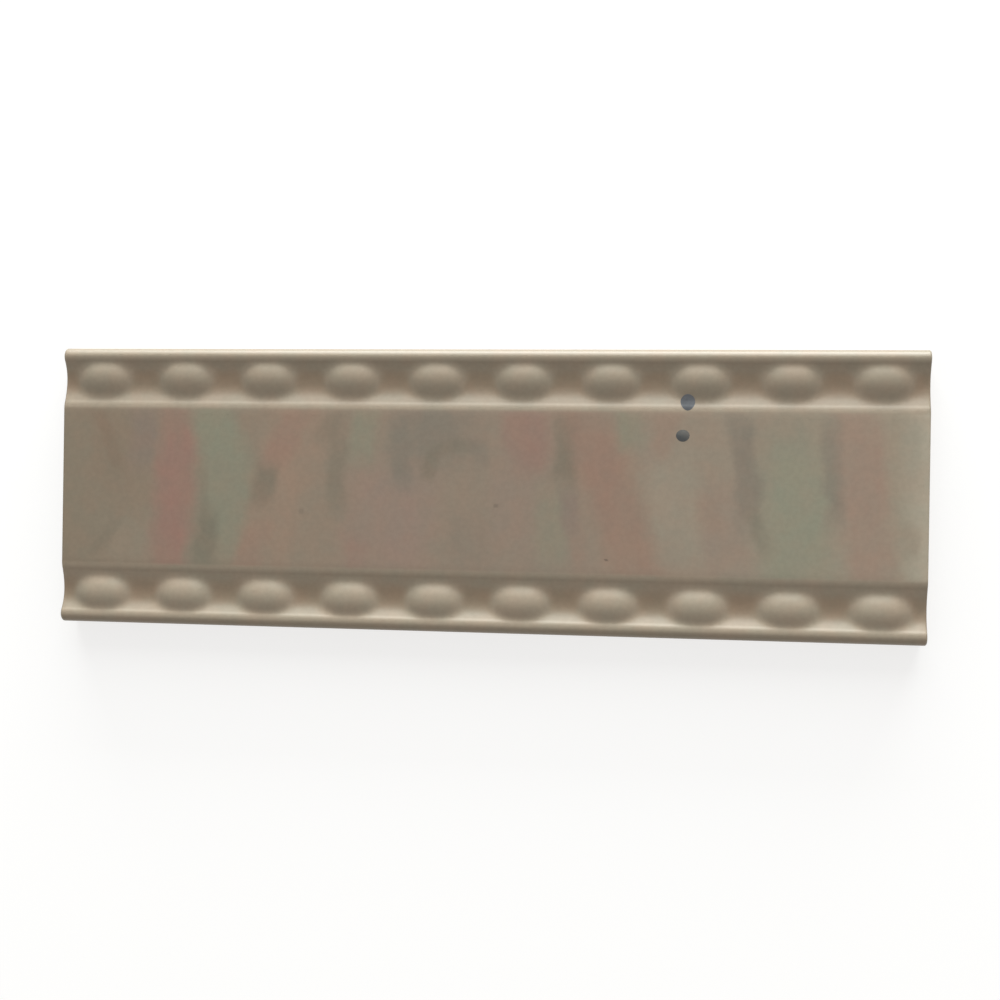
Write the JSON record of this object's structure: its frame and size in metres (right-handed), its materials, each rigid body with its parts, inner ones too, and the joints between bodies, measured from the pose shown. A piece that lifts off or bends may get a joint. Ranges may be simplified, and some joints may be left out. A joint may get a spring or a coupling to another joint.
{
  "type": "border tile",
  "caption": "Narrow glazed ceramic border tile with a flat streaked panel between two bead-and-cove mouldings along its long edges.",
  "frame": {"origin": "middle of the flat back, on the plane that the tile lies on", "axes": "+X along the border, +Y across it, +Z out of the glazed face"},
  "size_m": [0.2, 0.065, 0.009],
  "materials": {
    "glaze": "satin"
  },
  "bodies": {
    "root": {"border_tile": "glaze"}
  },
  "joints": []
}
